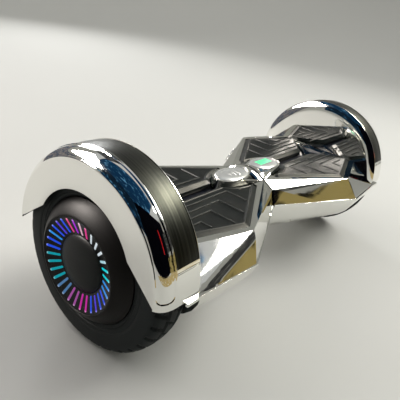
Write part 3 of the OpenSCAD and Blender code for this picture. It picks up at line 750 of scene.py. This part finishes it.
def tyreRow(turn):
    t = tyre
    row = []
    for i in range(45):  # crown from the outer shoulder to the inner one
        phi = math.radians(88 - 176 * i / 44)
        x = t["half"] * math.copysign(abs(math.sin(phi)) ** 0.78, math.sin(phi))
        r = t["radius"] - t["crown"] + t["crown"] * math.cos(phi) ** 0.62
        sink = treadDepth(turn, x) if r > 91 else 0.0
        slope = min(1.0, (r - 91) / 8) if r > 91 else 0.0
        row.append((r - sink * slope, board["wheelMiddle"] + x))
    inner = [(84.5, 242.15), (80, 242.3), (74, 243.0), (70, 244.4), (66.6, 245.6)]
    outer = [(66.6, 282.3), (68.85, 282.5), (69.1, 284.2), (70.2, 285.0), (72.4, 285.35),
             (72.8, 285.05), (73.4, 285.05), (73.8, 285.5), (77.6, 285.75), (78.0, 285.5),
             (78.6, 285.5), (79.0, 285.8), (83.0, 285.95), (85.4, 285.92)]
    return row + inner + outer


for sideName, side in sides.items():
    body = f"{sideName}_wheel"
    count = tyre["repeats"] * tyre["perRepeat"]
    shape = Shape()
    rows = []
    for i in range(count):
        a = 2 * math.pi * i / count
        row = tyreRow(i / tyre["perRepeat"])
        rows.append([(x, r * math.cos(a), axleZ + r * math.sin(a)) for r, x in row])
    shape.rings(rows, True)
    makePiece(f"treadedTyre_{sideName}", shape.verts, shape.faces, body,
              materials["tyre"], side, (f"tyre_{sideName}",), 35)

    cover = Shape()
    profile = [(24, 286), (40, 288.2), (52.0, 294.6), (52.0, 298.9)]
    profile += bend((52.0, 299.1), (52.2, 299.55), (53.0, 299.5), 3)[1:]
    profile += bend((53.8, 299.3), (60.9, 295.0), (67.2, 286.6), 12)
    profile += [(67.9, 285.9), (68.5, 285.3), (68.6, 284.2), (68.5, 282.9), (50, 282.5), (24, 278)]
    cover.lathe(profile, 160)
    makePiece(f"hubCone_{sideName}", cover.verts, cover.faces, body,
              materials["hub"], side, (f"hub_cover_{sideName}",), 30)

    plate = Shape()
    plate.lathe([(31.6, 289.5), (31.6, 291.95), (32.1, 292.05), (40, 294.9), (48, 297.8), (51.8, 299.15),
                 (51.9, 299.0), (51.9, 296.5), (40, 292.0)], 160)
    makePiece(f"dishedPlate_{sideName}", plate.verts, plate.faces, body,
              materials["gloss"], side, (f"slot_plate_{sideName}",), 30)

    dome = Shape()
    curve = [(0.0001, 288.2), (31.4, 288.2), (31.4, 291.2)]
    curve += bend((31.2, 291.9), (27, 297.6), (0.0001, 298.1), 18)
    dome.lathe(curve, 128)
    makePiece(f"hubDome_{sideName}", dome.verts, dome.faces, body,
              materials["dome"], side, (f"hub_cap_{sideName}",), 30)

    bars = Shape()
    owners = []
    used = sorted(set(slots["colours"]))
    outline = []  # one slot along the radius, with rounded ends
    for (r, half), start in ((slots["inner"], 90), (slots["outer"], -90)):
        for q in range(start, start + 181, 30):
            outline.append((r + half * math.cos(math.radians(q)), half * math.sin(math.radians(q))))
    for i, colour in enumerate(slots["colours"]):
        angle = math.radians((1 - i) * 360 / len(slots["colours"]))
        c, sn = math.cos(angle), math.sin(angle)
        rows = []
        for grow, lift in ((0.0, -0.5), (0.0, 0.1), (0.2, 0.28)):
            ring = []
            for r, w in inset(outline, grow):
                x = slots["face"] + (r - 32) * slots["slope"] + lift
                ring.append((x, r * c - w * sn, axleZ + r * sn + w * c))
            rows.append(ring)
        before = len(bars.faces)
        bars.rings(rows)
        owners += [used.index(colour)] * (len(bars.faces) - before)
    lights = makePiece(f"slotLights_{sideName}", bars.verts, bars.faces, body,
                       [glowMaterials[colour] for colour in used], side, (f"light_guide_{sideName}",), 40,
                       merge=False)
    for polygon, owner in zip(lights.data.polygons, owners):
        polygon.material_index = owner
print("wheels ready")


# finishes of the frame's own nodes
finishes = {
    "frame": "alloy", "axle_clamp": "alloy", "heat_sink": "alloy", "clamp_bolts": "steel", "axle": "steel",
    "stator": "copper", "magnets": "magnet", "wheel_rim": "darkAlloy", "inner_cover": "darkAlloy",
    "bearings": "steel", "sensor_board": "board", "main_board": "board", "shell_screws": "steel",
    "battery": "wrap",
    "pivot_shaft": "steel", "pivot_bushes": "bronze", "retaining_ring": "steel", "shaft_sleeve": "steel",
    "charge_port": "steel", "power_switch": "steel", "power_button": "satin", "wiring": "jacket",
    "hub_cover": "hub", "hub_cap": "dome", "tyre": "tyre", "slot_plate": "gloss", "light_guide": "gloss",
    "deck_shell": "chrome", "lower_shell": "chrome", "fender": "chrome", "trim_strip": "brushed",
    "front_pad": "pad", "rear_pad": "pad", "lens": "lens",
}
for nodeName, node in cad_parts.items():
    key = nodeName.replace("_left", "").replace("_right", "")
    node.data.materials.clear()
    node.data.materials.append(materials[finishes[key]])
print("frame finishes ready")


# studio
studio = {
    "floorRadius": 2.6, "sweep": 1.1, "wallHeight": 3.4, "turns": 96, "tone": (0.60, 0.60, 0.575),
    "sky": (0.93, 0.94, 0.93, 1), "skyStrength": 0.58,
}


def stageMaterial(name, colour, roughness=0.85, glow=0.0, patches=None, gloss=0.5):
    p = Paint(name)
    place = p.place()
    cloud = p.noise(place, 1.2, 2.0)
    grain = p.noise(place, 90.0, 3.0)
    light = tuple(min(1.0, c * 1.05) for c in colour)
    shade = p.blend(cloud, colour, light)
    if patches:
        other, size, edge = patches
        shade = p.blend(p.noise(place, size, 3.0, 0.6, 0.6).above(edge, 0.08), shade, other)
    values = {"Base_Color": shade, "Roughness": roughness + grain * 0.05, "Specular_IOR_Level": gloss}
    if glow:
        values["Emission_Color"] = shade
        values["Emission_Strength"] = glow
    return p.finish(**values)


def stageObject(name, verts, faces, material, reflectOnly=False):
    mesh = bpy.data.meshes.new(name)
    mesh.from_pydata(verts, [], faces)
    mesh.shade_smooth()
    mesh.materials.append(material)
    obj = bpy.data.objects.new(name, mesh)
    scene.collection.objects.link(obj)
    if reflectOnly:
        obj.visible_camera = False
        obj.visible_diffuse = False
        obj.visible_shadow = False
        obj.visible_transmission = False
        obj.visible_volume_scatter = False
    return obj


reach, sweep, turns = studio["floorRadius"], studio["sweep"], studio["turns"]
profile = [(0.0, 0.0), (reach, 0.0)]  # the floor runs up into the wall
for i in range(1, 13):
    a = math.radians(90 * i / 12)
    profile.append((reach + sweep * math.sin(a), sweep * (1 - math.cos(a))))
profile.append((reach + sweep, studio["wallHeight"]))
verts = [(0, 0, 0)]
faces = []
for r, z in profile[1:]:
    for i in range(turns):
        verts.append((r * math.cos(2 * math.pi * i / turns), r * math.sin(2 * math.pi * i / turns), z))
for i in range(turns):
    faces.append((0, 1 + i, 1 + (i + 1) % turns))
for j in range(len(profile) - 2):
    for i in range(turns):
        a, b = 1 + j * turns + i, 1 + j * turns + (i + 1) % turns
        faces.append((a, a + turns, b + turns, b))
stageObject("studioSweep", verts, faces, stageMaterial("paleSweep", studio["tone"]))


def toward(azimuth, rise, distance):
    a, e = math.radians(azimuth), math.radians(rise)
    flat = distance * math.cos(e)
    return (flat * math.cos(a), flat * math.sin(a), distance * math.sin(e) + 0.12)


def card(name, azimuth, rise, distance, width, height, colour, glow=0.0, patches=None):
    # a flat panel turned to the board, which only shows in reflections
    centre = Vector(toward(azimuth, rise, distance))
    spin = (Vector((0, 0, 0.12)) - centre).to_track_quat("Z", "Y").to_matrix()
    corners = [Vector((x * width / 2, y * height / 2, 0)) for x, y in ((-1, -1), (1, -1), (1, 1), (-1, 1))]
    verts = [tuple(centre + spin @ c) for c in corners]
    material = stageMaterial(name, colour, 0.8, glow, patches, 0.0)
    stageObject(name, verts, [(0, 1, 2, 3)], material, True)


def softBox(name, place, aim, width, height, power, colour=(1, 1, 1)):
    data = bpy.data.lights.new(name, "AREA")
    data.shape = "RECTANGLE"
    data.size, data.size_y = width, height
    data.energy = power
    data.color = colour
    obj = bpy.data.objects.new(name, data)
    obj.location = place
    obj.rotation_euler = (Vector(aim) - Vector(place)).to_track_quat("-Z", "Y").to_euler()
    scene.collection.objects.link(obj)
    return obj


middle = (0, 0, 0.1)
softBox("keySoftBox", toward(-25, 48, 2.3), middle, 1.7, 0.7, 34, (1.0, 0.99, 0.95))
wheelLight = softBox("wheelSoftBox", toward(120, 38, 2.1), middle, 1.6, 1.0, 300, (1.0, 0.93, 0.87))
wheelLight.visible_diffuse = False
softBox("windowSoftBox", toward(64, 23, 2.4), middle, 0.5, 0.85, 12)
stripLight = softBox("stripSoftBox", toward(-22, 44, 2.2), middle, 0.75, 0.42, 75, (1.0, 0.93, 0.74))
stripLight.visible_diffuse = False  # only seen in the brushed strips and the chrome
cards = {  # azimuth, rise, distance, width, height, colour, glow, and patches of a second colour
    "darkFigure": (-119, 24, 1.3, 2.35, 1.55, (0.002, 0.002, 0.004)),
    "ceilingBlue": (-171, 73, 1.5, 2.1, 2.0, (0.008, 0.045, 0.12), 0.0, ((0.14, 0.40, 0.72), 6.0, 0.61)),
    "blueWall": (176, 30, 1.6, 1.3, 1.1, (0.005, 0.016, 0.035), 0.0, ((0.08, 0.26, 0.50), 6.0, 0.60)),
    "brownBeam": (60, 50, 1.7, 0.6, 0.6, (0.05, 0.045, 0.04), 0.0, ((0.16, 0.17, 0.2), 12.0, 0.5)),
    "farShelf": (106, 2, 1.8, 2.6, 1.15, (0.10, 0.125, 0.18), 0.0, ((0.44, 0.38, 0.36), 11.0, 0.54)),
    "oakBoard": (-57, 3, 1.5, 1.35, 0.46, (0.33, 0.26, 0.10), 0.25, ((0.02, 0.018, 0.012), 5.0, 0.55)),
    "greyBand": (-60, 24, 1.55, 1.15, 0.5, (0.06, 0.06, 0.062), 0.0, ((0.26, 0.26, 0.25), 14.0, 0.58)),
    "redEdge": (-96, 27, 1.28, 0.035, 0.5, (0.75, 0.02, 0.02), 0.6),
}
for name, values in cards.items():
    card(name, *values)
floorPatch = [(-0.95, -1.5, 0.004), (0.5, -1.5, 0.004), (0.5, -0.62, 0.004), (-0.95, -0.62, 0.004)]
stageObject("oakFloor", floorPatch, [(0, 1, 2, 3)],
            stageMaterial("oakFloor", (0.34, 0.24, 0.06), 0.8, 0.2, ((0.6, 0.58, 0.5), 9.0, 0.6)), True)

world = bpy.data.worlds.new("paleRoom")
scene.world = world
world.use_nodes = True
sky = world.node_tree.nodes["Background"]
sky.inputs[0].default_value = studio["sky"]
sky.inputs[1].default_value = studio["skyStrength"]
scene.view_settings.view_transform = "Standard"
print("studio ready")

# camera
camera = {"place": (-537.7, -296.6, 376.0), "yaw": 34.51, "pitch": -25.44, "roll": 10.78, "lens": 40.37}
yaw, pitch, roll = (math.radians(camera[k]) for k in ("yaw", "pitch", "roll"))
ahead = Vector((math.cos(pitch) * math.cos(yaw), math.cos(pitch) * math.sin(yaw), math.sin(pitch)))
flat = ahead.cross(Vector((0, 0, 1))).normalized()
up = flat.cross(ahead)
right = math.cos(roll) * flat + math.sin(roll) * up
top = math.cos(roll) * up - math.sin(roll) * flat
lensData = bpy.data.cameras.new("studioCamera")
lensData.lens = camera["lens"]
lensData.sensor_width = 36
lensData.clip_start = 0.01
lensData.clip_end = 50
eye = bpy.data.objects.new("studioCamera", lensData)
scene.collection.objects.link(eye)
eye.matrix_world = Matrix((
    (right.x, top.x, -ahead.x, camera["place"][0] * mm),
    (right.y, top.y, -ahead.y, camera["place"][1] * mm),
    (right.z, top.z, -ahead.z, camera["place"][2] * mm),
    (0, 0, 0, 1)))
scene.camera = eye
print("camera ready")
